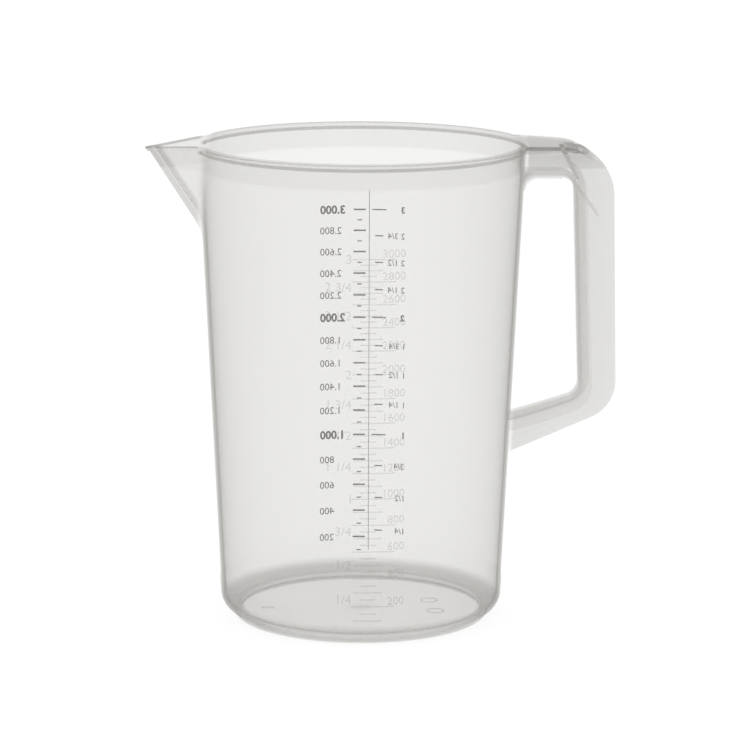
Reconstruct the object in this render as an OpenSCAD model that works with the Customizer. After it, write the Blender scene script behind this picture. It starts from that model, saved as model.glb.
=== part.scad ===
// Three-litre translucent measuring jug with a pouring spout and a loop handle.
// Millimetres, +Z up.  The origin is on the jug's axis, in the plane it stands on.
// The spout points along -X, the handle along +X, the moulded scale faces -Y and
// the printed scale +Y.

/* [Body] */
// Height from the table to the top of the rim
height = 234; // [200:1:260]
// Outer diameter of the wall at the height of the rim
top_d = 159.2; // [150:0.2:168]
// Outer diameter of the wall carried down to the table
bottom_d = 137; // [132:0.2:142]
// Wall thickness
wall_t = 2.1; // [1.6:0.1:2.6]
// Height of the thicker band under the rim
collar_h = 10; // [6:0.5:14]
// Extra thickness of that band, on the inside
collar_t = 0.5; // [0.2:0.1:0.8]
// How far the rim bead stands out from the wall
bead_out = 2; // [1:0.1:3]
// Height of the rim bead
bead_h = 2.3; // [1.6:0.1:3]

/* [Base] */
// Height of the slightly prouder band above the heel
band_h = 19; // [16:0.5:24]
// How far that band stands out from the wall
band_out = 0.3; // [0.1:0.05:0.6]
// Radius of the rounded heel
heel_r = 9.7; // [8:0.1:11]
// Height of the foot ring
foot_h = 2; // [1.5:0.1:2.5]
// Outer diameter of the foot ring
foot_d = 124.5; // [120:0.5:127]
// Width of the foot ring
foot_w = 2.6; // [2:0.1:3.5]
// Thickness of the floor
floor_t = 2.1; // [1.6:0.1:2.6]

/* [Spout] */
// Distance of the spout's tip from the axis
tip_x = 105.2; // [98:0.2:110]
// Slope of the keel above the horizontal
keel_slope = 57.1; // [50:0.1:62]
// Half the angle between the spout's sides, seen from above
spout_half_angle = 36; // [30:0.5:42]
// Radius of the rounded keel
keel_r = 3.2; // [2.6:0.1:4]
// How far the lip drops from the rim to the tip
lip_drop = 2.6; // [1:0.1:4]

/* [Handle] */
// Half the width of the grip
grip_half = 13; // [11:0.5:15]
// Distance of the grip's outer edge from the axis, at its top
grip_top_x = 122.1; // [118:0.1:126]
// Distance of the grip's outer edge from the axis, at its bottom
grip_bottom_x = 124.9; // [121:0.1:128]
// Radius of the shoulder's outer curve
shoulder_r = 26.3; // [22:0.1:30]
// Radius of the elbow's outer curve
elbow_r = 20; // [16:0.5:24]
// Thickness of the handle's walls
handle_t = 2.1; // [1.6:0.1:2.6]
// Thickness of the rib that stands behind the grip
rib_t = 3; // [2.1:0.1:4]
// Thickness of that rib's outer edge
edge_t = 1.7; // [1.2:0.1:2.4]
// Depth of that thinner edge
edge_depth = 3.2; // [2:0.1:5]
// Radius of the grip's rounded edges
grip_edge_r = 5; // [4:0.25:6]
// Half the width of the top plate where it leaves the rim
plate_root_half = 32.5; // [26:0.5:36]

/* [Scales] */
// Distance of both scales from the plane through the axis, towards the handle
scale_shift = 3.5; // [0:0.1:6]
// Height of the moulded figures and lines above the wall
relief_t = 0.3; // [0.2:0.05:0.5]
// Thickness of the printed figures and lines
ink_t = 0.12; // [0.1:0.02:0.2]
// Height of the moulded figures
relief_digit_h = 3.8; // [3:0.1:5]
// Height of the moulded litre figures
relief_litre_h = 4.2; // [3:0.1:5]
// Height of the printed figures
ink_digit_h = 3.5; // [3:0.1:5]

/* [Hidden] */
$fn = 96;

draft = (top_d - bottom_d) / 2 / height;
draft_angle = atan(draft);
bead_z = height - bead_h;
collar_z = bead_z - collar_h;
band_chamfer = 0.3;
heel_z = foot_h + heel_r;
floor_z = foot_h + floor_t;
heel_x = wall_r(heel_z) + band_out - heel_r;
far = 400;

// The whole-litre graduations follow the filling height of a cone.
cal_r0 = 66.4;
cal_draft = 0.0594;
cal_z0 = 4.8;
cal_lift = 1.2;

clear_pp = [0.9, 0.9, 0.88, 0.55];
ink_grey = [0.33, 0.33, 0.34];

// Outer radius of the wall at height z
function wall_r(z) = bottom_d / 2 + draft * z;

// Inner radius of the wall at height z
function bore_r(z) = wall_r(z) - wall_t;

// Radius of the jug's outer skin at height z, with the band above the heel
function skin_r(z) =
    wall_r(z) + band_out * min(1, max(0, (band_h - z) / band_chamfer));

// Filling height of v millilitres
function fill_z(v) =
    (pow(pow(cal_r0 + cal_draft * cal_z0, 3) + 3000 * cal_draft * v / PI, 1 / 3)
        - cal_r0) / cal_draft + cal_lift;

// Points of an arc about c, from angle a0 to a1
function arc(c, r, a0, a1, n) =
    [for (i = [0:n]) c + r * [cos(a0 + (a1 - a0) * i / n), sin(a0 + (a1 - a0) * i / n)]];

function lerp(a, b, t) = a + (b - a) * t;

// ---------------------------------------------------------------- body of the jug

// Solid of revolution from a list of [radius, height] points
module turned(points) {
    rotate_extrude()
        polygon(points);
}

// Everything inside the wall's outer surface
module full_cone() {
    turned([[0, -1], [wall_r(-1), -1], [wall_r(height + 1), height + 1],
            [0, height + 1]]);
}

// Ring of wall between two heights, with extra thickness inside
module wall_ring(z0, z1, inside) {
    turned([[bore_r(z0) - inside, z0], [wall_r(z0), z0],
            [wall_r(z1), z1], [bore_r(z1) - inside, z1]]);
}

module wall() {
    color(clear_pp)
        difference() {
            wall_ring(band_h, collar_z, 0);
            spout_hollow();
        }
}

module rim_collar() {
    color(clear_pp)
        difference() {
            wall_ring(collar_z, bead_z, collar_t);
            spout_hollow();
        }
}

module rim_bead() {
    inner = bore_r(bead_z) - collar_t;
    outer = wall_r(bead_z) + bead_out;
    round_r = bead_h / 2 - 0.1;
    color(clear_pp)
        difference() {
            turned(concat(
                [[inner, bead_z]],
                [[outer - round_r, bead_z]],
                arc([outer - round_r, bead_z + round_r], round_r, -75, 0, 5),
                arc([outer - round_r, height - round_r], round_r, 0, 90, 6),
                [[inner + 0.6, height]],
                [[inner, height - 0.6]]));
            spout_prism(0, far);
        }
}

module base_band() {
    color(clear_pp)
        turned([[bore_r(heel_z), heel_z], [wall_r(heel_z) + band_out, heel_z],
                [skin_r(band_h - band_chamfer), band_h - band_chamfer],
                [wall_r(band_h), band_h],
                [bore_r(band_h), band_h]]);
}

module heel() {
    inner_r = heel_z - floor_z;
    color(clear_pp)
        turned(concat(
            arc([heel_x, heel_z], heel_r, 0, -90, 16),
            arc([bore_r(heel_z) - inner_r, heel_z], inner_r, -90, 0, 16)));
}

module base_plate() {
    color(clear_pp)
        translate([0, 0, foot_h])
            cylinder(r = heel_x, h = floor_t);
}

// Ring under the heel that the jug stands on
module foot_ring() {
    outer = foot_d / 2;
    color(clear_pp)
        difference() {
            turned([[outer - foot_w, 0], [outer - 0.3, 0], [outer, 0.3],
                    [outer, foot_h + 1], [outer - foot_w, foot_h + 1]]);
            turned(concat([[0, far]], [[0, foot_h]],
                          arc([heel_x, heel_z], heel_r, -90, 0, 16),
                          [[heel_x + heel_r, far]]));
        }
}

// Low round pad left under the middle of the floor by the mould's gate
module gate_boss() {
    color(clear_pp)
        turned([[0, foot_h - 0.9], [4, foot_h - 0.9], [9, foot_h], [0, foot_h]]);
}

// Plain raised rings and a bar on the underside of the floor
module base_marks() {
    color(clear_pp)
        translate([0, 0, foot_h - 0.4]) {
            for (place = [[34, 12], [37, -8]])
                translate(place)
                    difference() {
                        cylinder(d = 9, h = 0.4);
                        translate([0, 0, -1])
                            cylinder(d = 7, h = 2);
                    }
            translate([-46, -3, 0.2])
                cube([7, 3, 0.4], center = true);
        }
}

// ---------------------------------------------------------------- spout

// Section across the keel: a V with a rounded bottom, its outside moved in by d
module keel_section(d) {
    half = atan(tan(spout_half_angle) / sin(keel_slope));
    r = keel_r - d;
    centre = [keel_r, 0];
    reach = 60;
    side = [for (s = [-1, 1])
        centre + r * [-sin(half), s * cos(half)] + reach * [cos(half), s * sin(half)]];
    polygon(concat([side[0]], arc(centre, r, 270 - half, 90 + half, 12), [side[1]]));
}

// The V carried along the keel, its outside moved in by d
module spout_prism(d, length) {
    translate([-tip_x, 0, height - lip_drop])
        rotate([0, keel_slope - 90, 0])
            translate([0, 0, -70])
                linear_extrude(length)
                    keel_section(d);
}

// Everything under the sloping lip of the spout, down to a depth.  The slope starts
// where the spout's sides leave the rim.
lip_start = 76;
module under_lip(top, depth) {
    slope = atan(lip_drop / (tip_x - lip_start));
    translate([-lip_start, 0, height - top])
        rotate([0, -slope, 0])
            translate([-60, -60, -depth])
                cube([60, 120, depth]);
}

module spout_hollow() {
    spout_prism(wall_t, far);
}

module spout() {
    color(clear_pp)
        difference() {
            intersection() {
                spout_prism(0, far);
                under_lip(1.4, 80);
            }
            spout_hollow();
            full_cone();
        }
}

// Thicker edge that carries the rim round the spout
module spout_lip() {
    color(clear_pp)
        difference() {
            intersection() {
                spout_prism(-0.4, far);
                under_lip(0, 1.4);
            }
            spout_hollow();
            full_cone();
            turned([[0, 0], [wall_r(bead_z) + bead_out, 0],
                    [wall_r(bead_z) + bead_out, far], [0, far]]);
        }
}

// ---------------------------------------------------------------- handle

// Finger gap, seen from the side: its three free corners
gap_top = [102.5, height - 15.8];
gap_bottom = [106.3, 110.3];
gap_root = [66, 98];
// Lower edge of the lower arm, seen from the side
arm_corner = [grip_bottom_x + 0.1, 103.6];
arm_root = [66, 77.9];
gap_top_r = 6.5;
gap_bottom_r = 8;

function unit(v) = v / norm(v);

// Points of the rounding of corner b between a and c
function rounded(a, b, c, r, n) =
    let (u = unit(a - b), w = unit(c - b), half = acos(u * w) / 2,
         centre = b + unit(u + w) * r / sin(half),
         p = b + u * r / tan(half) - centre, q = b + w * r / tan(half) - centre,
         a0 = atan2(p[1], p[0]), a1 = atan2(q[1], q[0]),
         turn = a1 - a0 > 180 ? a1 - a0 - 360 : a1 - a0 < -180 ? a1 - a0 + 360 : a1 - a0)
    arc(centre, r, a0, a0 + turn, n);

turn_n = 10;
run_n = 4;
shoulder_in = rounded([80, gap_top[1]], gap_top, gap_bottom, gap_top_r, turn_n);
elbow_in = rounded(gap_top, gap_bottom, gap_root, gap_bottom_r, turn_n);
shoulder_top = [grip_top_x, height];
shoulder_out = rounded([80, height], shoulder_top, arm_corner, shoulder_r, turn_n);
elbow_out = rounded(shoulder_top, arm_corner, arm_root, elbow_r, turn_n);

function run(a, b) = [for (i = [0:run_n]) lerp(a, b, i / run_n)];

// Section of the grip: a curled shell for the fingers, its crest at depth 0, and a rib
// that stands behind it out to the given depth
curl_n = 5;
function grip_section(depth) =
    let (r = grip_edge_r, ri = grip_edge_r - handle_t, w = grip_half, curl = r + 0.8,
         rib = rib_t / 2, edge = edge_t / 2, step = depth - edge_depth)
    concat(
        [[-w, curl]],
        arc([-w + r, r], r, 180, 270, curl_n),
        arc([w - r, r], r, 270, 360, curl_n),
        [[w, curl]],
        [[w - handle_t, curl]],
        arc([w - r, r], ri, 360, 270, curl_n),
        [[rib, handle_t], [rib, step - 1], [edge, step], [edge, depth],
         [-edge, depth], [-edge, step], [-rib, step - 1], [-rib, handle_t]],
        arc([-w + r, r], ri, 270, 180, curl_n),
        [[-w + handle_t, curl]]);

// Faces that fill the section whose first point has index e
function section_caps(e) =
    let (m = curl_n + 2, web = 3 * m)
    concat(
        [for (k = [0:m - 2]) [e + k, e + k + 1, e + 4 * m + 6 - k, e + 4 * m + 7 - k]],
        [for (k = [0:m - 2]) [e + m + k, e + m + k + 1, e + web - 2 - k, e + web - 1 - k]],
        [[e + m, e + web - 1, e + web, e + web + 7, e + web + 8, e + m - 1]],
        [for (k = [0:2]) [e + web + k, e + web + k + 1, e + web + 6 - k, e + web + 7 - k]]);

function reversed(v) = [for (i = [len(v) - 1:-1:0]) v[i]];

// The top plate narrows to a tongue that ends on the rib's outer edge
tongue_x0 = 103.5;
tongue_x1 = 114.5;
shoulder_c = [shoulder_out[0][0], height - shoulder_r];
tongue_turn = asin((tongue_x1 - shoulder_c[0]) / shoulder_r);
function tongue_half(x) =
    grip_half * pow(max(0, 1 - pow(max(0, (x - tongue_x0) / (tongue_x1 - tongue_x0)), 2)),
                    0.7);

// Grip whose shell follows one list of side points and whose rib reaches another
module grip(inside, outside) {
    sections = [for (i = [0:len(inside) - 1])
        let (d = outside[i] - inside[i], u = unit(d))
        [for (p = grip_section(norm(d)))
            [inside[i][0] + u[0] * p[1], p[0], inside[i][1] + u[1] * p[1]]]];
    n = len(sections[0]);
    m = len(sections);
    polyhedron(
        points = [for (s = sections) for (p = s) p],
        faces = concat(
            [for (i = [0:m - 2]) for (k = [0:n - 1])
                let (a = i * n + k, b = i * n + (k + 1) % n)
                each [[a, a + n, b + n], [a, b + n, b]]],
            section_caps(0),
            [for (f = section_caps((m - 1) * n)) reversed(f)]),
        convexity = 8);
}

// Half the width of the top plate at distance x from the axis
plate_x0 = 75;
flare_x1 = 107.5;
function plate_half(x) =
    x > tongue_x0 ? tongue_half(x)
        : grip_half + (plate_root_half - grip_half)
            * pow(max(0, 1 - (x - plate_x0) / (flare_x1 - plate_x0)), 0.7);

// Side outline carried across the handle, between -half and half
module across(half) {
    rotate([90, 0, 0])
        translate([0, 0, -half])
            linear_extrude(2 * half)
                children();
}

// Block with the handle's side outline, between two depths under its upper edge
module upper_strip(z0, z1) {
    steps = 14;
    turn = tongue_turn + 3;
    across(50)
        polygon(concat(
            [[60, height - z1]],
            [[60, height - z0]],
            arc(shoulder_c, shoulder_r - z0, 90, 90 - turn, steps),
            arc(shoulder_c, shoulder_r - z1, 90 - turn, 90, steps)));
}

module plate_block(above) {
    n = 24;
    xs = [for (i = [0:n]) lerp(70, tongue_x1 - 0.2, sin(90 * i / n))];
    intersection() {
        upper_strip(-above, handle_t);
        translate([0, 0, height - 40])
            linear_extrude(60)
                polygon(concat([for (x = xs) [x, -plate_half(x)]],
                               [for (i = [n:-1:0]) [xs[i], plate_half(xs[i])]]));
    }
}

// Slanting line where the web ends and the grip begins, and the top of the shell
// beside it
end_top = [95.6, height - handle_t];
end_foot = [103.2, height - 16.3];
floor_corner = arc([shoulder_in[0][0], gap_top[1] - gap_top_r], gap_top_r + handle_t,
                   40, 90, 5);

module outside_body() {
    difference() {
        children();
        full_cone();
        turned([[0, bead_z], [wall_r(bead_z) + bead_out, bead_z],
                [wall_r(bead_z) + bead_out, far], [0, far]]);
    }
}

module handle_top_plate() {
    color(clear_pp)
        outside_body()
            plate_block(0);
}

// Upright web between the top plate and the flange
module handle_web() {
    color(clear_pp)
        outside_body()
            across(handle_t / 2)
                polygon(concat([[70, gap_top[1] + handle_t], [70, height - handle_t]],
                               [end_top, end_foot], floor_corner));
}

// Flange over the finger gap, with a fillet at the wall
module handle_flange() {
    fillet = 6;
    z = gap_top[1];
    root = wall_r(z);
    color(clear_pp)
        outside_body()
            across(grip_half)
                polygon(concat(
                    [[70, z - fillet]],
                    arc([root + fillet, z - fillet], fillet, 180, 90, 6),
                    [[shoulder_in[0][0], z]],
                    [[shoulder_in[0][0], z + handle_t]],
                    [[70, z + handle_t]]));
}

module handle_shoulder() {
    color(clear_pp)
        difference() {
            grip(shoulder_in, shoulder_out);
            plate_block(2);
            across(grip_half + 1)
                polygon(concat([[90, height + 2], [94, height + 2], end_top, end_foot],
                               floor_corner, [[90, gap_top[1] + handle_t]]));
        }
}

// Slanting cross rib at the grip's upper end, from the shell to the top plate
module handle_cross_rib() {
    color(clear_pp)
        across(grip_half - 0.5)
            polygon([end_top, end_top + [handle_t, 0], end_foot + [handle_t, 0], end_foot]);
}

module handle_grip() {
    color(clear_pp)
        grip(run(shoulder_in[turn_n], elbow_in[0]),
                run(shoulder_out[turn_n], elbow_out[0]));
}

module handle_elbow() {
    color(clear_pp)
        grip(elbow_in, elbow_out);
}

module handle_lower_arm() {
    color(clear_pp)
        difference() {
            grip(run(elbow_in[turn_n], gap_root), run(elbow_out[turn_n], arm_root));
            full_cone();
        }
}

// Thin slanting rib behind the shell, under the shoulder
module handle_gusset() {
    top = gap_top + [handle_t - 0.5, -6];
    foot = top + [10, -13];
    color(clear_pp)
        across(grip_half - 4)
            polygon([top, top + [1.3, 0.6], foot + [0.8, 0.6], foot]);
}

// ---------------------------------------------------------------- scales

// Direction of a scale's middle, seen from above: the moulded one faces -Y and the
// printed one +Y
relief_az = -90;
ink_az = 90;

// Azimuth of a point s millimetres to the right of a scale's middle line
function scale_az(az, z, s) =
    az + (s - sin(az) * scale_shift) / wall_r(z) * 180 / PI;

// Line on the wall from s0 to s1, at height z
module wall_line(az, z, s0, s1, line_h, t) {
    a0 = scale_az(az, z, s0);
    a1 = scale_az(az, z, s1);
    z0 = z - line_h / 2;
    z1 = z + line_h / 2;
    rotate([0, 0, a0])
        rotate_extrude(angle = a1 - a0)
            polygon([[skin_r(z0), z0], [skin_r(z0) + t, z0],
                     [skin_r(z1) + t, z1], [skin_r(z1), z1]]);
}

// Outline of a figure w wide and h high, drawn with strokes of width t
module figure(d, w, h, t) {
    m0 = (h - t) / 2;
    m1 = (h + t) / 2;
    square_outline = [[0, 0], [w, 0], [w, h], [0, h]];
    lower_hole = [[t, t], [w - t, t], [w - t, m0], [t, m0]];
    upper_hole = [[t, m1], [w - t, m1], [w - t, h - t], [t, h - t]];
    if (d == "0")
        polygon(concat(square_outline, [[t, t], [w - t, t], [w - t, h - t], [t, h - t]]),
                [[0, 1, 2, 3], [4, 5, 6, 7]]);
    if (d == "1")
        polygon([[w / 2, 0], [w / 2 + t, 0], [w / 2 + t, h], [w / 2, h],
                 [w / 2 - t, h - t], [w / 2 - t, h - 2 * t], [w / 2, h - 1.6 * t]]);
    if (d == "2")
        polygon([[0, 0], [w, 0], [w, t], [t, t], [t, m0], [w, m0], [w, h], [0, h],
                 [0, h - t], [w - t, h - t], [w - t, m1], [0, m1]]);
    if (d == "3")
        polygon([[0, 0], [w, 0], [w, h], [0, h], [0, h - t], [w - t, h - t],
                 [w - t, m1], [t, m1], [t, m0], [w - t, m0], [w - t, t], [0, t]]);
    if (d == "4")
        polygon([[w - 2 * t, 0], [w - t, 0], [w - t, m0], [w, m0], [w, m1], [w - t, m1],
                 [w - t, h], [w - 2 * t, h], [w - 2 * t, m1], [t, m1], [t, h], [0, h],
                 [0, m0], [w - 2 * t, m0]]);
    if (d == "6")
        polygon(concat([[0, 0], [w, 0], [w, m1], [t, m1], [t, h - t], [w, h - t],
                        [w, h], [0, h]], lower_hole),
                [[0, 1, 2, 3, 4, 5, 6, 7], [8, 9, 10, 11]]);
    if (d == "8")
        polygon(concat(square_outline, lower_hole, upper_hole),
                [[0, 1, 2, 3], [4, 5, 6, 7], [8, 9, 10, 11]]);
    if (d == "/")
        polygon([[0, 0], [t, 0], [w, h], [w - t, h]]);
    if (d == ".")
        square([t, t]);
}

// Widths, as parts of the figures' height
wide = 0.56;
gap = 0.17;
function figure_w(d, h) = (d == "." ? gap : wide) * h;

// Where figure i of a row starts, from the row's left end
function start_of(figures, i, h) =
    i == 0 ? 0 : start_of(figures, i - 1, h) + figure_w(figures[i - 1], h) + gap * h;

function row_w(figures, h) = start_of(figures, len(figures), h) - gap * h;

// Figures standing on the wall, the row's left end at s and its feet at height z
module wall_figures(az, z, s, figures, h, stroke, t) {
    for (i = [0:len(figures) - 1]) {
        w = figure_w(figures[i], h);
        place = s + start_of(figures, i, h) + w / 2;
        rotate([0, 0, scale_az(az, z, place)])
            translate([skin_r(z), 0, z])
                rotate([90, 0, 90])
                    rotate([-draft_angle, 0, 0])
                        translate([-w / 2, 0, 0])
                            linear_extrude(t)
                                figure(figures[i], w, h, stroke);
    }
}

// Moulded lines: short every 50 ml, wider every 100 ml, long under each figure
module moulded_lines_50ml() {
    color(clear_pp)
        for (v = [150:100:2950])
            wall_line(relief_az, fill_z(v), -3.85, 3.85, 0.5, relief_t);
}

module moulded_lines_100ml() {
    color(clear_pp)
        for (v = [100:200:2900])
            wall_line(relief_az, fill_z(v), -6.8, 6.8, 0.5, relief_t);
}

module moulded_lines_200ml() {
    color(clear_pp)
        for (v = [200:200:3000])
            wall_line(relief_az, fill_z(v), -7.6, 12.8, 0.5, relief_t);
}

module moulded_figures_ml() {
    h = relief_digit_h;
    color(clear_pp)
        for (v = [200:200:3000])
            wall_figures(relief_az, fill_z(v) + 0.8, 17.5 - row_w(str(v), h), str(v), h,
                         0.45, relief_t);
}

// Litre labels at every quarter: whole number, then the fraction
quarters = ["", "1/4", "1/2", "3/4"];

function whole_of(v) = v < 1000 ? "" : str(floor(v / 1000));
function part_of(v) = quarters[round((v % 1000) / 250)];
function litre_gap(v, h) = whole_of(v) == "" || part_of(v) == "" ? 0 : 0.3 * h;
function litre_w(v, h) =
    (whole_of(v) == "" ? 0 : wide * h) + litre_gap(v, h)
        + (part_of(v) == "" ? 0 : row_w(part_of(v), 0.9 * h));

// A whole number and a fraction side by side, the row's left end at s
module litre_figures(az, v, s, h, stroke, t) {
    small = 0.9 * h;
    part = part_of(v);
    if (whole_of(v) != "")
        wall_figures(az, fill_z(v) - h / 2, s, whole_of(v), h, stroke, t);
    if (part != "")
        wall_figures(az, fill_z(v) - small / 2, s + litre_w(v, h) - row_w(part, small),
                     part, small, stroke, t);
}

module moulded_figures_litre() {
    color(clear_pp)
        for (v = [250:250:3000])
            litre_figures(relief_az, v, -8 - litre_w(v, relief_litre_h), relief_litre_h,
                          0.45, relief_t);
}

// Printed scale, read from the far side
module ink_centre_line() {
    z0 = fill_z(100);
    z1 = fill_z(3000) + 10;
    line_w = 0.32;
    heights = [z0, band_h - band_chamfer, band_h, z1];
    color(ink_grey)
        intersection() {
            turned(concat([for (z = heights) [skin_r(z), z]],
                          [for (z = reversed(heights)) [skin_r(z) + ink_t, z]]));
            translate([scale_shift - line_w / 2, 0, 0])
                cube([line_w, far, far]);
        }
}

module ink_lines_ml() {
    color(ink_grey)
        for (v = [100:100:3000])
            if (v % 200 == 0)
                wall_line(ink_az, fill_z(v), 1.8, 8, 0.8, ink_t);
            else
                wall_line(ink_az, fill_z(v), 3.8, 6.1, 0.6, ink_t);
}

module ink_lines_litre() {
    color(ink_grey)
        for (v = [250:250:3000])
            if (v % 1000 == 0)
                wall_line(ink_az, fill_z(v), -8.7, -1.5, 0.6, ink_t);
            else
                wall_line(ink_az, fill_z(v), -7.1, -3, 0.6, ink_t);
}

// Thousands are set off by a point, as in 2.600
function with_point(v) =
    v < 1000 ? str(v) : str(floor(v / 1000), ".", v % 1000 == 0 ? "000" : v % 1000);

module ink_figures_ml() {
    color(ink_grey)
        for (v = [200:200:3000]) {
            whole = v % 1000 == 0;
            h = whole ? 1.15 * ink_digit_h : ink_digit_h;
            wall_figures(ink_az, fill_z(v) - h / 2, 25.2 - row_w(with_point(v), h),
                         with_point(v), h, whole ? 0.62 : 0.42, ink_t);
        }
}

module ink_figures_litre() {
    color(ink_grey)
        for (v = [250:250:3000])
            litre_figures(ink_az, v, -18.3, 0.85 * ink_digit_h, 0.4, ink_t);
}

// ---------------------------------------------------------------- drawing

wall();
rim_collar();
rim_bead();
base_band();
heel();
base_plate();
foot_ring();
gate_boss();
base_marks();
spout();
spout_lip();
handle_top_plate();
handle_web();
handle_flange();
handle_shoulder();
handle_cross_rib();
handle_grip();
handle_elbow();
handle_lower_arm();
handle_gusset();
moulded_lines_50ml();
moulded_lines_100ml();
moulded_lines_200ml();
moulded_figures_ml();
moulded_figures_litre();
ink_centre_line();
ink_lines_ml();
ink_lines_litre();
ink_figures_ml();
ink_figures_litre();
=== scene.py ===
"""Translucent three-litre measuring jug: looks for the CAD frame, in metres."""

import math

import bmesh
import bpy
from mathutils import Matrix, Vector


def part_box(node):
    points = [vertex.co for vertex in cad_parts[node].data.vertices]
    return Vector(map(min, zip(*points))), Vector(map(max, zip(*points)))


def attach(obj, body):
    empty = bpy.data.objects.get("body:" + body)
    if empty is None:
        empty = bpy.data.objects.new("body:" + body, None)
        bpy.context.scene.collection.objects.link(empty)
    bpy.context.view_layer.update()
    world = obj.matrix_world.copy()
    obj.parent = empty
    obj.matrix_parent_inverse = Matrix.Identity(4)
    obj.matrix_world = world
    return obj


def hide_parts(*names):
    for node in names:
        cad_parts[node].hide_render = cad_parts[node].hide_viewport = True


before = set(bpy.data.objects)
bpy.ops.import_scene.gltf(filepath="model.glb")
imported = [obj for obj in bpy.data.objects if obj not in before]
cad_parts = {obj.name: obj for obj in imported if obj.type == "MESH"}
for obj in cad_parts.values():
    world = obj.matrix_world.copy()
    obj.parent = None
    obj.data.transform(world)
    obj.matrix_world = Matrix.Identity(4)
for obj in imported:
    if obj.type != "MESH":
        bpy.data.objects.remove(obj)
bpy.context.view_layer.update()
MM = 0.001

# ------------------------------------------------------------------ dimensions
# Those that a CAD box shows are read from it.  The others follow the CAD design, except
# that the spout's keel is sharper here and small roundings are added.
WALL_T = 2.1 * MM
FLOOR_T = 2.1 * MM
BAND_OUT = 0.3 * MM
COLLAR_T = 0.5 * MM
COLLAR_STEP = 1.6 * MM
HANDLE_T = 2.1 * MM
RIB_T = 3 * MM
EDGE_T = 1.7 * MM
EDGE_DEPTH = 3.2 * MM
EDGE_ROUND = 0.5 * MM
EDGE_STRAIGHT = 0.9 * MM
EDGE_BEVEL = 1.5 * MM
CURL_STRAIGHT = 0.3 * MM
WEB_FILLET = 1.6 * MM
FLANGE_FILLET = 6 * MM
RIM_SHADE = 1.6 * MM
FOOT_ROUND = 0.4 * MM
BAND_BEVEL = 0.5 * MM
GATE_R = 4 * MM
GATE_DROP = 0.9 * MM
GATE_SKIRT_R = 9 * MM
OVERLAP = 0.5 * MM  # how far united parts reach into each other
SPOUT_HALF_ANGLE = math.radians(36)
SPOUT_REACH = 1.6 * SPOUT_HALF_ANGLE
SPOUT_WALL_SPREAD = 1.82
SPOUT_BOTTOM = 184 * MM
SPOUT_LIP_BEAD = 0.35 * MM
KEEL_SLOPE = math.radians(57.1)
KEEL_ROUND = 1.2 * MM
SPOUT_FILLET = 4 * MM

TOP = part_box("rim_bead")[1][2]
BEAD_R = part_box("rim_bead")[1][1]
BEAD_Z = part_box("rim_bead")[0][2]
COLLAR_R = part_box("rim_collar")[1][1]
COLLAR_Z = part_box("rim_collar")[0][2]
HEEL_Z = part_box("heel")[1][2]
HEEL_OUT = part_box("heel")[1][1]
FOOT_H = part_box("heel")[0][2]
HEEL_ROUND = HEEL_Z - FOOT_H
FOOT_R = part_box("foot_ring")[1][1]
FOOT_W = 2.6 * MM
BAND_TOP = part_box("base_band")[1][2]
FLOOR_Z = FOOT_H + FLOOR_T
TIP_X = -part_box("spout")[0][0]
LIP_OUT = -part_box("spout_lip")[0][0] - TIP_X
GRIP_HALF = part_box("handle_grip")[1][1]
DRAFT = (COLLAR_R - (HEEL_OUT - BAND_OUT)) / (BEAD_Z - HEEL_Z)
LIP_DROP = 2.6 * MM


def wall_r(z):
    """Outer radius of the wall at height z."""
    return COLLAR_R + DRAFT * (z - BEAD_Z)


def lerp(a, b, t):
    return a + (b - a) * t


def smooth_max(a, b, k):
    """The larger of two lengths, blended over k."""
    h = max(k - abs(a - b), 0) / k
    return max(a, b) + h * h * k / 4


def smooth_min(a, b, k):
    return -smooth_max(-a, -b, k)


def smoothstep(t):
    t = min(max(t, 0), 1)
    return t * t * (3 - 2 * t)


def arc(cx, cy, r, a0, a1, n):
    """Points of an arc from a0 to a1 degrees."""
    return [(cx + r * math.cos(math.radians(lerp(a0, a1, i / n))),
             cy + r * math.sin(math.radians(lerp(a0, a1, i / n)))) for i in range(n + 1)]


def mesh_piece(name, verts, faces):
    """A new object from points and faces, with its normals turned outwards."""
    mesh = bpy.data.meshes.new(name)
    mesh.from_pydata([tuple(v) for v in verts], [], faces)
    bm = bmesh.new()
    bm.from_mesh(mesh)
    bmesh.ops.remove_doubles(bm, verts=bm.verts, dist=1e-6)
    bmesh.ops.recalc_face_normals(bm, faces=bm.faces)
    bm.to_mesh(mesh)
    bm.free()
    piece = bpy.data.objects.new(name, mesh)
    bpy.context.scene.collection.objects.link(piece)
    return piece


# ------------------------------------------------------------------ body and spout
# The body is star-shaped round its axis, so its skin is a grid over azimuth and
# height.  Azimuth is measured from the handle, +X; the spout is at 180 degrees.

# Heights between which the handle's lower arm meets the wall: rows lie closer there
ARM_LOW, ARM_HIGH = 74 * MM, 108 * MM


def spout_radius(azimuth, z, inset):
    """Radius of the spout's V at an azimuth and height, its walls moved in by inset."""
    phi = abs(azimuth - math.pi)
    if phi > SPOUT_REACH:
        return 0.0
    half = SPOUT_HALF_ANGLE
    keel = TIP_X + KEEL_ROUND / 2 - (TOP - LIP_DROP - z) / math.tan(KEEL_SLOPE)
    keel -= inset * SPOUT_WALL_SPREAD
    if keel <= 0:
        return 0.0
    near = keel * math.sin(half) / math.sin(half + phi)
    far = keel * math.sin(half) / max(math.sin(half - phi), 1e-4)
    return smooth_min(near, far, 2 * KEEL_ROUND)


def lip_height(azimuth):
    """Height of the rim, which falls towards the spout's tip."""
    reach = smooth_max(wall_r(TOP), spout_radius(azimuth, TOP - LIP_DROP, 0), SPOUT_FILLET)
    out = -math.cos(azimuth) * reach - wall_r(TOP)
    return TOP - LIP_DROP * max(out, 0) / (TIP_X - wall_r(TOP))


def outer_radius(azimuth, z):
    return smooth_max(wall_r(z), spout_radius(azimuth, z, 0), SPOUT_FILLET)


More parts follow.
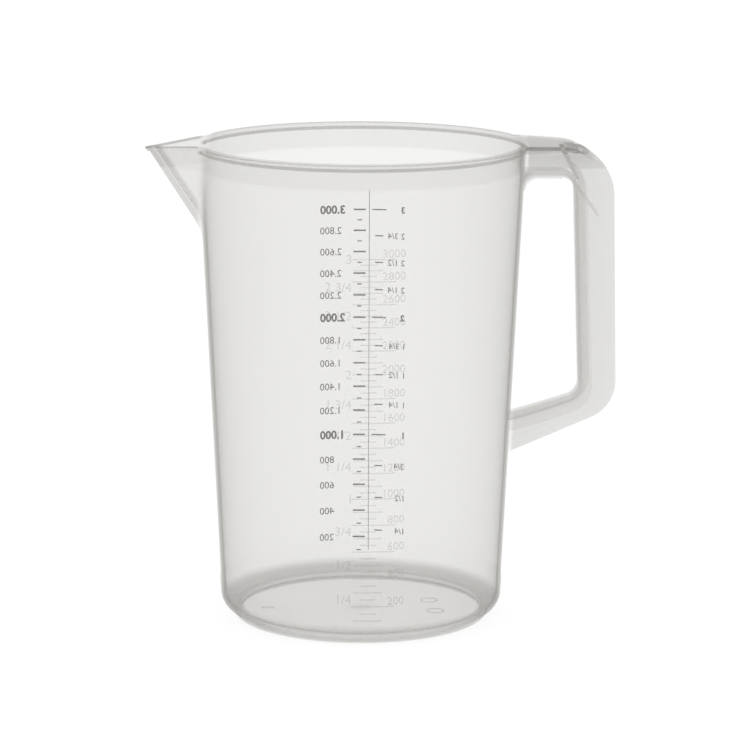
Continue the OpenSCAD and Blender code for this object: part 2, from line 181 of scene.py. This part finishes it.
def inner_radius(azimuth, z):
    """Radius of the inside, where the collar is thicker than the wall."""
    swell = COLLAR_T * smoothstep((z - COLLAR_Z) / COLLAR_STEP + 1)
    plain = wall_r(z) - WALL_T - swell
    return smooth_max(plain, spout_radius(azimuth, z, WALL_T), 0.6 * SPOUT_FILLET)


def bead_reach(azimuth):
    """How far the rim bead stands out: full round the jug, thin along the spout."""
    phi = math.degrees(abs(azimuth - math.pi))
    along = lerp(LIP_OUT, SPOUT_LIP_BEAD, smoothstep(phi / 5))
    return lerp(along, BEAD_R - wall_r(BEAD_Z), smoothstep((phi - 15) / 12))


def azimuths():
    """Azimuths of the grid's columns, closer together at the spout and the handle."""
    values = []
    a = 0.0
    while a < 360 - 1e-6:
        from_spout = abs(a - 180)
        from_handle = min(a, 360 - a)
        values.append(math.radians(a))
        a += 0.4 if from_spout < 12 else 0.75 if min(from_spout, from_handle) < 28 else 2.0
    return values


def graded(breaks):
    """Heights from (start, end, step) stretches."""
    out = []
    for start, end, step in breaks:
        n = max(1, round((end - start) / step))
        out += [lerp(start, end, i / n) for i in range(n)]
    return out


def body_section(azimuth):
    """Radius and height round the section at one azimuth, from axis to axis."""
    top = lip_height(azimuth)
    bead = bead_reach(azimuth)
    bead_r = (BEAD_R - wall_r(BEAD_Z)) * 0.52
    bead_bottom = top - (TOP - BEAD_Z)
    heel_x = HEEL_OUT - HEEL_ROUND
    foot_cut = math.degrees(math.acos((FOOT_R - heel_x) / HEEL_ROUND))
    foot_in = FOOT_R - FOOT_W
    points = [(0, FOOT_H - GATE_DROP), (GATE_R, FOOT_H - GATE_DROP), (GATE_SKIRT_R, FOOT_H),
              (30 * MM, FOOT_H), (foot_in, FOOT_H), (foot_in, FOOT_ROUND),
              (foot_in + FOOT_ROUND, 0), (FOOT_R - FOOT_ROUND, 0), (FOOT_R, FOOT_ROUND)]
    points += arc(heel_x, HEEL_Z, HEEL_ROUND, -foot_cut, 0, 14)
    points += [(wall_r(BAND_TOP) + BAND_OUT, BAND_TOP - BAND_BEVEL),
               (wall_r(BAND_TOP + 0.3 * MM), BAND_TOP + 0.3 * MM)]
    low = BAND_TOP + 1 * MM
    heights = graded([(low, ARM_LOW, 8 * MM), (ARM_LOW, ARM_HIGH, 1 * MM),
                      (ARM_HIGH, SPOUT_BOTTOM, 8 * MM)])
    points += [(outer_radius(azimuth, z), z) for z in heights]
    for z in [lerp(SPOUT_BOTTOM, bead_bottom - RIM_SHADE, i / 42) for i in range(43)]:
        points.append((outer_radius(azimuth, z), z))
    points.append((outer_radius(azimuth, bead_bottom - RIM_SHADE / 2),
                   bead_bottom - RIM_SHADE / 2))

    def rim_r(z):
        """Radius under the bead, which grows with height only along the spout."""
        at_spout = outer_radius(azimuth, z) - outer_radius(azimuth, bead_bottom)
        return outer_radius(azimuth, bead_bottom) + max(
            at_spout - (wall_r(z) - wall_r(bead_bottom)), 0)

    points.append((rim_r(bead_bottom), bead_bottom))
    points.append((rim_r(bead_bottom) + bead * 0.6, bead_bottom + 0.12 * MM))
    for t in [math.radians(v) for v in (-40, 0, 25, 50, 75, 90)]:
        z = top - bead_r * (1 - math.sin(t))
        points.append((rim_r(z) + bead - bead_r * bead / (2 * MM) * (1 - math.cos(t)), z))
    inner_top = inner_radius(azimuth, top)
    points += [(inner_top + 0.5 * MM, top), (inner_top + 0.12 * MM, top - 0.14 * MM)]
    for i in range(44):
        z = lerp(top - 0.5 * MM, SPOUT_BOTTOM, i / 44)
        points.append((inner_radius(azimuth, z), z))
    near_heel = HEEL_Z + 8 * MM
    for z in graded([(SPOUT_BOTTOM, near_heel, 16 * MM), (near_heel, HEEL_Z, 4 * MM)]):
        points.append((inner_radius(azimuth, z), z))
    inner_round = HEEL_Z - FLOOR_Z
    points += arc(wall_r(HEEL_Z) - WALL_T - inner_round, HEEL_Z, inner_round, 0, -90, 12)
    points += [(40 * MM, FLOOR_Z), (20 * MM, FLOOR_Z), (0, FLOOR_Z)]
    return points


def make_body():
    columns = azimuths()
    sections = [body_section(a) for a in columns]
    rows = len(sections[0])
    verts = []
    for a, section in zip(columns, sections):
        verts += [(r * math.cos(a), r * math.sin(a), z) for r, z in section]
    faces = []
    n = len(columns)
    for i in range(n):
        j = (i + 1) % n
        for k in range(rows - 1):
            quad = (i * rows + k, j * rows + k, j * rows + k + 1, i * rows + k + 1)
            faces.append(quad)
    return mesh_piece("jug_moulding", verts, faces)


# ------------------------------------------------------------------ handle
# Side points are (x, z).

GAP_TOP = (102.5 * MM, TOP - 15.8 * MM)
GAP_BOTTOM = (106.3 * MM, 110.3 * MM)
GAP_ROOT = (66 * MM, 98 * MM)
ARM_CORNER = (125.0 * MM, 103.6 * MM)
ARM_ROOT = (66 * MM, 77.9 * MM)
GRIP_TOP_X = 122.1 * MM
SHOULDER_R = 26.3 * MM
ELBOW_R = 20 * MM
GAP_TOP_R = 6.5 * MM
GAP_BOTTOM_R = 8 * MM
GRIP_EDGE_R = 5 * MM
IN_WALL = 1.75 * MM


def rounded(a, b, c, r, n):
    """Points rounding corner b between a and c."""
    a, b, c = Vector(a), Vector(b), Vector(c)
    u, w = (a - b).normalized(), (c - b).normalized()
    half = u.angle(w) / 2
    centre = b + (u + w).normalized() * r / math.sin(half)
    p, q = b + u * r / math.tan(half) - centre, b + w * r / math.tan(half) - centre
    a0, a1 = math.atan2(p.y, p.x), math.atan2(q.y, q.x)
    turn = (a1 - a0 + math.pi) % (2 * math.pi) - math.pi
    return [centre + r * Vector((math.cos(a0 + turn * i / n), math.sin(a0 + turn * i / n)))
            for i in range(n + 1)]


TONGUE_X0, TONGUE_X1 = 103.5 * MM, 114.5 * MM


def tongue_half(x):
    """Half width of the top plate where it narrows to its tongue."""
    t = min(max((x - TONGUE_X0) / (TONGUE_X1 - TONGUE_X0), 0), 1)
    return GRIP_HALF * (1 - t * t) ** 0.7


def grip_section(depth):
    """Section of the grip: a curled shell for the fingers, its crest at depth 0, and a
    rib that stands behind it out to the given depth."""
    def half(s):
        r, ri, w = GRIP_EDGE_R, GRIP_EDGE_R - HANDLE_T, GRIP_HALF
        rim = HANDLE_T / 2
        shell = arc(w - r, r, r, 270, 360, 10)
        shell += arc(w - rim, r + CURL_STRAIGHT, rim, 0, 180, 6)
        shell += arc(w - r, r, ri, 360, 270, 8)
        rib, edge, step = RIB_T / 2, EDGE_T / 2, depth - EDGE_DEPTH
        shell += [(rib + WEB_FILLET, HANDLE_T), (rib + 0.45 * MM, HANDLE_T + 0.4 * MM),
                  (rib, HANDLE_T + WEB_FILLET), (rib, step - EDGE_BEVEL), (edge, step)]
        shell.append((edge, depth - EDGE_STRAIGHT))
        shell += arc(edge - EDGE_ROUND, depth - EDGE_ROUND, EDGE_ROUND, 0, 90, 3)
        return [(s * y, d) for y, d in shell]
    right, left = half(1), half(-1)
    return right + left[::-1]


def carried(points, start, end, n):
    """Add n evenly spaced points from start to end."""
    for i in range(1, n + 1):
        points.append(start.lerp(end, i / n))


def make_grip():
    """Shoulder, grip, elbow and lower arm in one sweep."""
    shoulder_top = (GRIP_TOP_X, TOP)
    inside = rounded((80 * MM, GAP_TOP[1]), GAP_TOP, GAP_BOTTOM, GAP_TOP_R, 28)
    outside = rounded((80 * MM, TOP), shoulder_top, ARM_CORNER, SHOULDER_R, 28)
    elbow_in = rounded(GAP_TOP, GAP_BOTTOM, GAP_ROOT, GAP_BOTTOM_R, 18)
    elbow_out = rounded(shoulder_top, ARM_CORNER, ARM_ROOT, ELBOW_R, 18)
    carried(inside, inside[-1], elbow_in[0], 8)
    carried(outside, outside[-1], elbow_out[0], 8)
    inside += elbow_in[1:]
    outside += elbow_out[1:]
    for points, end in ((inside, Vector(GAP_ROOT)), (outside, Vector(ARM_ROOT))):
        start = points[-1]
        near, far = 0.0, 1.0
        for _ in range(30):
            mid = (near + far) / 2
            at = start.lerp(end, mid)
            near, far = (mid, far) if at.x > wall_r(at.y) - IN_WALL else (near, mid)
        carried(points, start, start.lerp(end, near), 8)
    verts, faces = [], []
    for a, b in zip(inside, outside):
        u = (b - a).normalized()
        section = grip_section((b - a).length)
        verts += [(a.x + u.x * p, y, a.y + u.y * p) for y, p in section]
    n = len(section)
    for i in range(len(inside) - 1):
        for k in range(n):
            m = (k + 1) % n
            faces.append((i * n + k, i * n + m, (i + 1) * n + m, (i + 1) * n + k))
    last = (len(inside) - 1) * n
    faces += [tuple(range(n)), tuple(range(last + n - 1, last - 1, -1))]
    grip = mesh_piece("grip", verts, faces)
    beside = [(90 * MM, TOP + 2 * MM), (94 * MM, TOP + 2 * MM), END_TOP, END_FOOT]
    beside += FLOOR_CORNER + [(90 * MM, GAP_TOP[1] + HANDLE_T)]
    combine(grip, [side_slab("beside", beside, GRIP_HALF + 1 * MM)], "DIFFERENCE")
    return grip


def side_slab(name, outline, half):
    """A side outline of (x, z) points carried from -half to half across."""
    n = len(outline)
    verts = [(x, -half, z) for x, z in outline] + [(x, half, z) for x, z in outline]
    faces = [tuple(range(n)), tuple(range(2 * n - 1, n - 1, -1))]
    faces += [(i, (i + 1) % n, n + (i + 1) % n, n + i) for i in range(n)]
    return mesh_piece(name, verts, faces)


END_TOP = (95.6 * MM, TOP - HANDLE_T)
END_FOOT = (103.2 * MM, TOP - 16.3 * MM)
FLOOR_CORNER = arc(96 * MM, GAP_TOP[1] - GAP_TOP_R, GAP_TOP_R + HANDLE_T, 40, 90, 6)
PLATE_X0, FLARE_X1 = 75 * MM, 107.5 * MM
PLATE_ROOT_HALF = 32.5 * MM
PLATE_ROUND = 0.35 * MM


def plate_half(x):
    """Half width of the top plate, which flares towards the wall."""
    if x > TONGUE_X0:
        return tongue_half(x)
    t = max(0, 1 - (x - PLATE_X0) / (FLARE_X1 - PLATE_X0))
    return GRIP_HALF + (PLATE_ROOT_HALF - GRIP_HALF) * t ** 0.7


def shoulder_drop(x):
    """How far the handle's upper outline has fallen at distance x."""
    out = max(0, x - (GRIP_TOP_X - SHOULDER_R))
    return SHOULDER_R - math.sqrt(max(SHOULDER_R ** 2 - out ** 2, 0))


def make_plate():
    """Flared top plate, as a grid over its plan."""
    columns, rows = 44, 26
    end_x = TONGUE_X1 - 0.15 * MM
    top, bottom = [], []
    for i in range(columns + 1):
        t = math.sin(math.radians(90 * i / columns))
        for j in range(rows + 1):
            v = lerp(-1, 1, j / rows)
            y_root = v * PLATE_ROOT_HALF
            x_root = math.sqrt((wall_r(TOP) - 1.1 * MM) ** 2 - y_root ** 2)
            x = lerp(x_root, end_x, t)
            edge = plate_half(max(x, PLATE_X0)) if t > 0 else PLATE_ROOT_HALF
            y = v * edge
            z = TOP - shoulder_drop(x)
            beside_edge = max(0, abs(v) - 0.96) / 0.04
            edge_round = PLATE_ROUND * (1 - math.sqrt(max(0, 1 - beside_edge)))
            top.append((x, y, z - edge_round))
            bottom.append((x, y, z - HANDLE_T + edge_round))
    width = rows + 1
    count = len(top)
    faces = []
    for i in range(columns):
        for j in range(rows):
            a = i * width + j
            faces.append((a, a + 1, a + width + 1, a + width))
            faces.append((count + a, count + a + width, count + a + width + 1, count + a + 1))
    rim = list(range(rows + 1))
    rim += [i * width + rows for i in range(1, columns + 1)]
    rim += [columns * width + j for j in range(rows - 1, -1, -1)]
    rim += [i * width for i in range(columns - 1, 0, -1)]
    for k in range(len(rim)):
        a, b = rim[k], rim[(k + 1) % len(rim)]
        faces.append((a, b, count + b, count + a))
    return mesh_piece("plate", top + bottom, faces)


def make_handle_parts():
    """Plate, flange, web, grip and ribs, each closed, to be united with the body."""
    z = GAP_TOP[1]
    root = wall_r(z)
    fillet = FLANGE_FILLET
    in_x = root - 1.0 * MM
    end_x = GAP_TOP[0] - GAP_TOP_R + OVERLAP
    flange = [(in_x, z - fillet)]
    flange += arc(root + fillet, z - fillet, fillet, 178, 90, 8)
    flange += [(end_x, z), (end_x, z + HANDLE_T), (in_x, z + HANDLE_T)]
    web = [(root, z + 1 * MM), (root, TOP - HANDLE_T + 0.3 * MM),
           (END_TOP[0] + OVERLAP, TOP - HANDLE_T + 0.3 * MM),
           (END_FOOT[0] + OVERLAP, END_FOOT[1])]
    web += [(x, z1 - 1 * MM) for x, z1 in FLOOR_CORNER]
    rib_top = END_TOP[1] + 0.4 * MM
    rib_foot = END_FOOT[1] - OVERLAP
    cross_rib = [(END_TOP[0], rib_top), (END_TOP[0] + HANDLE_T, rib_top),
                 (END_FOOT[0] + HANDLE_T, rib_foot), (END_FOOT[0], rib_foot)]
    top = Vector(GAP_TOP) + Vector((HANDLE_T - OVERLAP, -6 * MM))
    foot = top + Vector((10 * MM, -13 * MM))
    rib = [top, top + Vector((1.0, 0.5)) * MM, foot + Vector((0.6, 0.4)) * MM, foot]
    return [make_plate(), side_slab("flange", flange, GRIP_HALF),
            side_slab("web", web, HANDLE_T / 2), make_grip(),
            side_slab("cross_rib", cross_rib, GRIP_HALF - OVERLAP),
            side_slab("rib", [tuple(p) for p in rib], GRIP_HALF - 4 * MM)]


def combine(base, parts, operation):
    """Unite the parts with the base, or cut them from it, in one closed skin."""
    for part in parts:
        cut = base.modifiers.new(part.name, "BOOLEAN")
        cut.operation = operation
        cut.solver = "EXACT"
        cut.object = part
    depsgraph = bpy.context.evaluated_depsgraph_get()
    mesh = bpy.data.meshes.new_from_object(base.evaluated_get(depsgraph))
    base.modifiers.clear()
    base.data = mesh
    for part in parts:
        bpy.data.objects.remove(part, do_unlink=True)


def smooth(piece, angle):
    for polygon in piece.data.polygons:
        polygon.use_smooth = True
    piece.data.set_sharp_from_angle(angle=math.radians(angle))


# ------------------------------------------------------------------ figures

SCALE_SHIFT = 3.5 * MM
RELIEF_AZ, INK_AZ = -math.pi / 2, math.pi / 2
RELIEF_T = 0.3 * MM
INK_T = 0.12 * MM
CAL_R0, CAL_DRAFT, CAL_Z0, CAL_LIFT = 66.4 * MM, 0.0594, 4.8 * MM, 1.2 * MM


def fill_z(millilitres):
    """Height of a volume's line: the filling height of the scale's own cone, which tapers
    a little more than the jug's inside."""
    start = (CAL_R0 + CAL_DRAFT * CAL_Z0) ** 3
    return ((start + 3 * CAL_DRAFT * millilitres * 1e-6 / math.pi) ** (1 / 3)
            - CAL_R0) / CAL_DRAFT + CAL_LIFT


def skin_r(z):
    """Radius of the outer skin, with the base band."""
    return wall_r(z) + (BAND_OUT if z < BAND_TOP else 0)


def glyph_mesh(text, bold):
    """A row of figures as a flat solid, its left foot at the origin."""
    curve = bpy.data.curves.new("row", "FONT")
    curve.body = text
    curve.resolution_u = 3
    curve.offset = bold
    curve.extrude = 0.1
    holder = bpy.data.objects.new("row", curve)
    bpy.context.scene.collection.objects.link(holder)
    depsgraph = bpy.context.evaluated_depsgraph_get()
    mesh = bpy.data.meshes.new_from_object(holder.evaluated_get(depsgraph))
    bpy.data.objects.remove(holder, do_unlink=True)
    return mesh


def wrapped_rows(name, az, rows, thick):
    """Rows of figures wrapped on the wall.  A row is (text, height, bold, place of its
    end, foot height, whether that end is its right one)."""
    result = bmesh.new()
    tall = max(v.co.y for v in glyph_mesh("1", 0).vertices)
    for text, high, bold, end, foot, right_end in rows:
        mesh = glyph_mesh(text, bold)
        bm = bmesh.new()
        bm.from_mesh(mesh)
        bmesh.ops.remove_doubles(bm, verts=bm.verts, dist=1e-5)
        size = high / tall
        left = min(v.co.x for v in bm.verts) * size
        right = max(v.co.x for v in bm.verts) * size
        start = end - right if right_end else end - left
        for v in bm.verts:
            s = start + v.co.x * size
            z = foot + v.co.y * size
            angle = az + (s - math.sin(az) * SCALE_SHIFT) / wall_r(z)
            r = skin_r(foot) + wall_r(z) - wall_r(foot)
            r += thick if v.co.z > 0 else -0.05 * MM
            v.co = Vector((r * math.cos(angle), r * math.sin(angle), z))
        row = bpy.data.meshes.new("row")
        bmesh.ops.recalc_face_normals(bm, faces=bm.faces)
        bm.to_mesh(row)
        result.from_mesh(row)
        bm.free()
        bpy.data.meshes.remove(row)
        bpy.data.meshes.remove(mesh)
    mesh = bpy.data.meshes.new(name)
    result.to_mesh(mesh)
    result.free()
    piece = bpy.data.objects.new(name, mesh)
    bpy.context.scene.collection.objects.link(piece)
    return piece


def litres(v):
    """Label of a volume in litres, such as 2 1/4."""
    parts = [str(v // 1000) if v >= 1000 else "", ("", "1/4", "1/2", "3/4")[v % 1000 // 250]]
    return " ".join(part for part in parts if part)


def thousands(v):
    return str(v) if v < 1000 else f"{v // 1000}.{v % 1000:03d}"


def make_figures():
    relief_ml = [(str(v), 3.8 * MM, 0.0, 17.5 * MM, fill_z(v) + 0.8 * MM, True)
                 for v in range(200, 3001, 200)]
    relief_l = [(litres(v), 4.2 * MM, 0.0, -8 * MM, fill_z(v) - 2.1 * MM, True)
                for v in range(250, 3001, 250)]
    ink_ml, ink_l = [], []
    for v in range(200, 3001, 200):
        whole = v % 1000 == 0
        high = 4.0 * MM if whole else 3.5 * MM
        ink_ml.append((thousands(v), high, 0.03 if whole else 0.0, 25.2 * MM,
                       fill_z(v) - high / 2, True))
    for v in range(250, 3001, 250):
        high = 3.0 * MM
        ink_l.append((litres(v), high, 0.03 if v % 1000 == 0 else 0.0, -18.3 * MM,
                      fill_z(v) - high / 2, False))
    return {
        "moulded_figures_ml": wrapped_rows("moulded_numerals_ml", RELIEF_AZ, relief_ml,
                                           RELIEF_T),
        "moulded_figures_litre": wrapped_rows("moulded_numerals_litre", RELIEF_AZ, relief_l,
                                              RELIEF_T),
        "ink_figures_ml": wrapped_rows("ink_numerals_ml", INK_AZ, ink_ml, INK_T),
        "ink_figures_litre": wrapped_rows("ink_numerals_litre", INK_AZ, ink_l, INK_T),
    }


# ------------------------------------------------------------------ materials

def node_material(name):
    material = bpy.data.materials.new(name)
    material.use_nodes = True
    tree = material.node_tree
    tree.nodes.clear()
    out = tree.nodes.new("ShaderNodeOutputMaterial")
    shader = tree.nodes.new("ShaderNodeBsdfPrincipled")
    tree.links.new(shader.outputs["BSDF"], out.inputs["Surface"])
    return material, tree, shader, out


def add(tree, kind, **settings):
    node = tree.nodes.new(kind)
    for key, value in settings.items():
        if key in node.inputs:
            node.inputs[key].default_value = value
        else:
            setattr(node, key, value)
    return node


def noise_range(tree, scale, low, high, detail=3.0, stretch=(1, 1, 1)):
    """Procedural noise in object space, mapped to low..high."""
    place = add(tree, "ShaderNodeTexCoord")
    mapping = add(tree, "ShaderNodeMapping", Scale=stretch)
    noise = add(tree, "ShaderNodeTexNoise", Scale=scale, Detail=detail)
    spread = add(tree, "ShaderNodeMapRange")
    spread.inputs["From Min"].default_value = 0.3
    spread.inputs["From Max"].default_value = 0.7
    spread.inputs["To Min"].default_value = low
    spread.inputs["To Max"].default_value = high
    tree.links.new(place.outputs["Object"], mapping.inputs["Vector"])
    tree.links.new(mapping.outputs["Vector"], noise.inputs["Vector"])
    tree.links.new(noise.outputs["Fac"], spread.inputs["Value"])
    return spread.outputs["Result"]


def math_node(tree, operation, a, b=None):
    """A Math node on two outputs or numbers."""
    node = add(tree, "ShaderNodeMath", operation=operation)
    for socket, value in zip(node.inputs, (a, b)):
        if isinstance(value, (int, float)):
            socket.default_value = value
        elif value is not None:
            tree.links.new(value, socket)
    return node.outputs[0]


def ramp(tree, value, start, end):
    """Rises smoothly from 0 where the value is start to 1 where it is end."""
    node = add(tree, "ShaderNodeMapRange", interpolation_type="SMOOTHSTEP")
    node.inputs["From Min"].default_value = start
    node.inputs["From Max"].default_value = end
    tree.links.new(value, node.inputs["Value"])
    return node.outputs["Result"]


def milkiness(tree):
    """How much darker and more opaque the moulding is made at each place than on the plain
    wall: painted shade under the bead's overhang, round the heel and beside the handle's rib,
    and darker zones on the collar, the floor's edge, the handle, the bead's upper edge and the
    spout's keel.
    """
    place = add(tree, "ShaderNodeTexCoord")
    split = add(tree, "ShaderNodeSeparateXYZ")
    tree.links.new(place.outputs["Object"], split.inputs["Vector"])
    x, y, z = split.outputs
    reach = math_node(tree, "SQRT", math_node(
        tree, "ADD", math_node(tree, "MULTIPLY", x, x), math_node(tree, "MULTIPLY", y, y)))
    side = math_node(tree, "ABSOLUTE", y)

    def both(*parts):
        """The product of the parts: a strength and the ramps that bound its zone."""
        product = parts[0]
        for part in parts[1:]:
            product = math_node(tree, "MULTIPLY", product, part)
        return product

    # Distance out from the wall on the handle's side
    beyond = math_node(tree, "SUBTRACT", x, math_node(
        tree, "ADD", math_node(tree, "MULTIPLY", z, DRAFT), wall_r(0)))
    handle = ramp(tree, beyond, 0.6 * MM, 2.2 * MM)
    # Depth under the bead, whose height falls along the spout
    fall = LIP_DROP / (TIP_X - wall_r(TOP))
    past_wall = math_node(tree, "MAXIMUM", math_node(
        tree, "SUBTRACT", math_node(tree, "MULTIPLY", x, -1), wall_r(TOP)), 0)
    under = math_node(tree, "SUBTRACT", BEAD_Z, math_node(
        tree, "ADD", z, math_node(tree, "MULTIPLY", past_wall, fall)))
    zones = [
        # Collar
        both(0.08, ramp(tree, z, COLLAR_Z - 1 * MM, COLLAR_Z + 0.4 * MM)),
        # Heel: painted shade, darker and more opaque low round the heel and foot
        both(0.30, ramp(tree, z, 11 * MM, 5.5 * MM), ramp(tree, z, -0.5 * MM, 0.8 * MM),
             ramp(tree, reach, 57 * MM, 60 * MM)),
        # Floor's edge
        both(0.05, ramp(tree, z, 5.6 * MM, 4.6 * MM), ramp(tree, reach, 57 * MM, 58.5 * MM),
             ramp(tree, reach, 63 * MM, 61 * MM), ramp(tree, z, 3.2 * MM, 3.8 * MM)),
        # Handle: darker on the plate, painted shadow on the rib beside its edge, darker all
        # over, and darker along the edge
        both(0.04, handle, ramp(tree, z, TOP - 12 * MM, TOP - 2.4 * MM)),
        both(0.11, handle, ramp(tree, z, TOP - 3 * MM, TOP - 7 * MM),
             ramp(tree, side, 0.7 * MM, 0.9 * MM), ramp(tree, side, 2.2 * MM, 1.7 * MM)),
        both(0.05, handle),
        both(0.04, handle, ramp(tree, side, 1.0 * MM, 0.8 * MM),
             ramp(tree, z, TOP - 3 * MM, TOP - 7 * MM)),
        # Painted shade in a line under the bead's overhang, and a darker line along the bead's
        # upper edge
        both(0.44, ramp(tree, reach, wall_r(TOP) - 1.3 * MM, wall_r(TOP) - 0.9 * MM),
             ramp(tree, under, -0.2 * MM, 0.1 * MM), ramp(tree, x, -80 * MM, -76 * MM),
             ramp(tree, under, RIM_SHADE + 0.2 * MM, RIM_SHADE - 0.3 * MM)),
        both(0.26, ramp(tree, reach, BEAD_R - 0.6 * MM, BEAD_R - 0.3 * MM),
             ramp(tree, under, -1.2 * MM, -1.6 * MM), ramp(tree, beyond, 0, -4 * MM)),
        # Keel of the spout
        both(0.22, ramp(tree, x, -78 * MM, -81 * MM), ramp(tree, side, 3.6 * MM, 2.2 * MM)),
    ]
    total = zones[0]
    for zone in zones[1:]:
        total = math_node(tree, "ADD", total, zone)
    return total


def polypropylene(name, alpha, grey, density, zoned=False):
    """Natural polypropylene: clear enough to see through, darker where it is thick; when zoned,
    painted shade and darker zones are mixed into its colour and opacity.
    """
    material, tree, shader, out = node_material(name)
    tint = add(tree, "ShaderNodeMix", data_type="RGBA")
    tint.inputs[6].default_value = (0.80 * grey, 0.785 * grey, 0.755 * grey, 1)
    tint.inputs[7].default_value = (0.88 * grey, 0.865 * grey, 0.835 * grey, 1)
    tree.links.new(noise_range(tree, 18, 0, 1, stretch=(1, 1, 0.35)), tint.inputs[0])
    tree.links.new(tint.outputs[2], shader.inputs["Base Color"])
    tree.links.new(noise_range(tree, 60, 0.30, 0.42), shader.inputs["Roughness"])
    shader.inputs["IOR"].default_value = 1.49
    shader.inputs["Alpha"].default_value = alpha
    if zoned:
        # Painted shade: the zone mask mixes the colour towards a dark grey and adds to the
        # alpha. This shades the band under the bead, the heel and the rib beside the handle's
        # edge.
        shade_and_density = milkiness(tree)
        darker = add(tree, "ShaderNodeMix", data_type="RGBA")
        darker.inputs[7].default_value = (0.345, 0.335, 0.31, 1)
        tree.links.new(tint.outputs[2], darker.inputs[6])
        tree.links.new(math_node(tree, "MULTIPLY", shade_and_density, 2.6), darker.inputs[0])
        tree.links.new(darker.outputs[2], shader.inputs["Base Color"])
        tree.links.new(math_node(tree, "ADD", shade_and_density, alpha), shader.inputs["Alpha"])
    bump = add(tree, "ShaderNodeBump", Strength=0.06, Distance=0.0004)
    tree.links.new(noise_range(tree, 240, 0, 1, detail=4), bump.inputs["Height"])
    tree.links.new(bump.outputs["Normal"], shader.inputs["Normal"])
    if density:
        depth = add(tree, "ShaderNodeVolumeAbsorption")
        depth.inputs["Color"].default_value = (0.515, 0.505, 0.485, 1)
        depth.inputs["Density"].default_value = density
        tree.links.new(depth.outputs["Volume"], out.inputs["Volume"])
    return material


def ink():
    """Dark grey print, a little uneven."""
    material, tree, shader, _ = node_material("scale_ink")
    tint = add(tree, "ShaderNodeMix", data_type="RGBA")
    tint.inputs[6].default_value = (0.035, 0.035, 0.038, 1)
    tint.inputs[7].default_value = (0.075, 0.075, 0.08, 1)
    tree.links.new(noise_range(tree, 900, 0, 1), tint.inputs[0])
    tree.links.new(tint.outputs[2], shader.inputs["Base Color"])
    tree.links.new(noise_range(tree, 700, 0.45, 0.65), shader.inputs["Roughness"])
    return material


def dress(node_or_piece, material):
    piece = bpy.data.objects[node_or_piece] if isinstance(node_or_piece, str) else node_or_piece
    if not piece.material_slots:
        piece.data.materials.append(material)
    for slot in piece.material_slots:
        slot.material = material


# ------------------------------------------------------------------ build

body = make_body()
combine(body, make_handle_parts(), "UNION")
smooth(body, 38)
CLEAR = polypropylene("polypropylene", 0.09, 1.0, 58, zoned=True)
RELIEF = polypropylene("polypropylene_relief", 0.17, 0.5, 0)
INK = ink()
dress(body, CLEAR)
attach(body, "root")
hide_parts("wall", "rim_collar", "rim_bead", "base_band", "heel", "base_plate",
            "foot_ring", "gate_boss", "spout", "spout_lip", "handle_top_plate", "handle_web",
            "handle_flange", "handle_shoulder", "handle_grip", "handle_elbow",
            "handle_lower_arm", "handle_gusset", "handle_cross_rib")
for node, piece in make_figures().items():
    inked = node.startswith("ink_")
    dress(piece, INK if inked else RELIEF)
    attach(piece, "root")
    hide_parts(node)
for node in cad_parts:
    if node.startswith("moulded_lines") or node == "base_marks":
        dress(node, RELIEF)
    if node.startswith("ink_") and "figures" not in node:
        dress(node, INK)

# ------------------------------------------------------------------ staging

def make_stage():
    bm = bmesh.new()
    bmesh.ops.create_grid(bm, x_segments=1, y_segments=1, size=30)
    mesh = bpy.data.meshes.new("floor")
    bm.to_mesh(mesh)
    bm.free()
    floor = bpy.data.objects.new("floor", mesh)
    bpy.context.scene.collection.objects.link(floor)
    material, tree, shader, _ = node_material("floor_white")
    shader.inputs["Base Color"].default_value = (0.2, 0.2, 0.2, 1)
    shader.inputs["Roughness"].default_value = 0.9
    shader.inputs["Specular IOR Level"].default_value = 0
    shader.inputs["Emission Color"].default_value = (1, 1, 1, 1)
    shader.inputs["Emission Strength"].default_value = 0.85
    mesh.materials.append(material)


def make_world():
    world = bpy.data.worlds.new("studio")
    world.use_nodes = True
    background = world.node_tree.nodes["Background"]
    background.inputs["Color"].default_value = (1, 1, 1, 1)
    background.inputs["Strength"].default_value = 0.8
    bpy.context.scene.world = world


def make_light(name, place, target, size, power):
    data = bpy.data.lights.new(name, "AREA")
    data.size = size
    data.energy = power
    light = bpy.data.objects.new(name, data)
    light.location = place
    light.rotation_euler = (Vector(target) - Vector(place)).to_track_quat("-Z", "Y").to_euler()
    bpy.context.scene.collection.objects.link(light)


def make_camera():
    distance, elevation, roll = 1.728, math.radians(11.35), math.radians(0.216)
    target = Vector((6.66 * MM, 0, 118.97 * MM))
    ahead = Vector((0, math.cos(elevation), -math.sin(elevation)))
    side = Vector((1, 0, 0))
    up = side.cross(ahead)
    right = side * math.cos(roll) + up * math.sin(roll)
    upward = up * math.cos(roll) - side * math.sin(roll)
    data = bpy.data.cameras.new("camera")
    data.lens = 169.1
    data.sensor_width = 36
    data.clip_end = 100
    camera = bpy.data.objects.new("camera", data)
    turn = Matrix((right, upward, -ahead)).transposed().to_4x4()
    camera.matrix_world = Matrix.Translation(target - ahead * distance) @ turn
    bpy.context.scene.collection.objects.link(camera)
    bpy.context.scene.camera = camera


scene = bpy.context.scene
scene.view_settings.view_transform = "Standard"
scene.cycles.transparent_max_bounces = 64
make_stage()
make_world()
make_light("key", (-1.2, -1.0, 1.8), (0, 0, 0.12), 1.2, 4)
make_light("fill", (1.6, -0.6, 1.2), (0, 0, 0.12), 1.5, 2)
make_camera()
